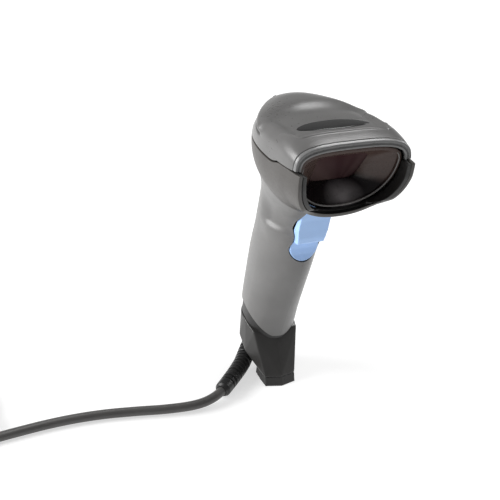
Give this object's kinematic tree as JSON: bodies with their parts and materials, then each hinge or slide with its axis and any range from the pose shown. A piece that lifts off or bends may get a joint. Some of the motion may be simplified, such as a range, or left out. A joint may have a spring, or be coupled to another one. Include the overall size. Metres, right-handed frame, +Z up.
{
  "type": "handheld barcode scanner",
  "caption": "Corded handheld barcode scanner with a domed head, hooded scan window, blue trigger and angled foot, standing on the foot with its USB cord coiled beside it.",
  "frame": {"origin": "centre of the flat sole of the foot, on the surface the scanner stands on", "axes": "+Z up through the handle to the head, -Y the way the scan window faces, +X to the holder's left hand side seen from the front"},
  "size_m": [0.2705, 0.1143, 0.1631],
  "materials": {
    "housing_grey": "fine spark texture, satin",
    "collar_grey": "satin",
    "bumper_rubber": "matt",
    "shroud_black": "gloss",
    "window_red": "polished, deep red filter",
    "lens_black": "smoked, polished",
    "trigger_blue": "satin",
    "boot_charcoal": "satin",
    "sole_rubber": "matt",
    "cord_jacket": "matt PVC",
    "relief_black": "satin PVC",
    "chassis_black": "matt",
    "board_green": "solder mask",
    "optical_glass": "polished",
    "sensor_dark": "polished",
    "led_clear": "clear epoxy",
    "led_red": "tinted epoxy",
    "flex_amber": "polyimide film",
    "shield_tin": "tinned",
    "switch_black": "matt",
    "plunger_red": "satin",
    "pin_steel": "ground",
    "plug_clear": "clear polycarbonate",
    "wire_red": "PVC",
    "usb_steel": "nickel plate",
    "usb_white": "satin"
  },
  "bodies": {
    "root": {"top_cover": "housing_grey", "indicator_lens": "lens_black", "window_bezel": "housing_grey", "lower_shell": "collar_grey", "nose_bumper": "bumper_rubber", "optics_shroud": "shroud_black", "scan_window": "window_red", "window_gasket": "sole_rubber", "imager_chassis": "chassis_black", "lens_barrel": "chassis_black", "imager_lens": "optical_glass", "image_sensor": "sensor_dark", "imager_board": "board_green", "illumination_leds": "led_clear", "aiming_led": "led_red", "indicator_board": "board_green", "status_led": "led_clear", "flex_cable": "flex_amber", "main_board": "board_green", "processor_shield": "shield_tin", "beeper": "switch_black", "trigger_switch": "switch_black", "trigger_pin": "pin_steel", "handle_left": "housing_grey", "handle_right": "housing_grey", "handle_screws": "pin_steel", "base_ring": "bumper_rubber", "base_boot": "boot_charcoal", "sole_pad": "sole_rubber", "cable_socket": "switch_black", "socket_wires": "wire_red", "modular_plug": "plug_clear", "strain_relief": "relief_black", "cord": "cord_jacket", "cord_coil": "cord_jacket", "cord_end": "cord_jacket", "coil_tie": "relief_black", "usb_overmould": "relief_black", "usb_insulator": "usb_white", "usb_shell": "usb_steel"},
    "trigger": {"trigger": "trigger_blue"},
    "plunger": {"switch_plunger": "plunger_red"}
  },
  "joints": [
    {"name": "trigger_pivot", "type": "hinge", "parent": "root", "child": "trigger", "pos_m": [0, -0.012, 0.116], "axis": [1, 0, 0], "range_deg": [0, 4], "stiffness_Nm_per_rad": 0.3, "springref_deg": -2.86},
    {"name": "plunger_slide", "type": "slide", "parent": "root", "child": "plunger", "axis": [0, 1, 0], "range_m": [0, 0.0012]}
  ],
  "couplings": [
    {"joint": "plunger_slide", "follows": "trigger_pivot", "m_per_rad": 0.016}
  ]
}
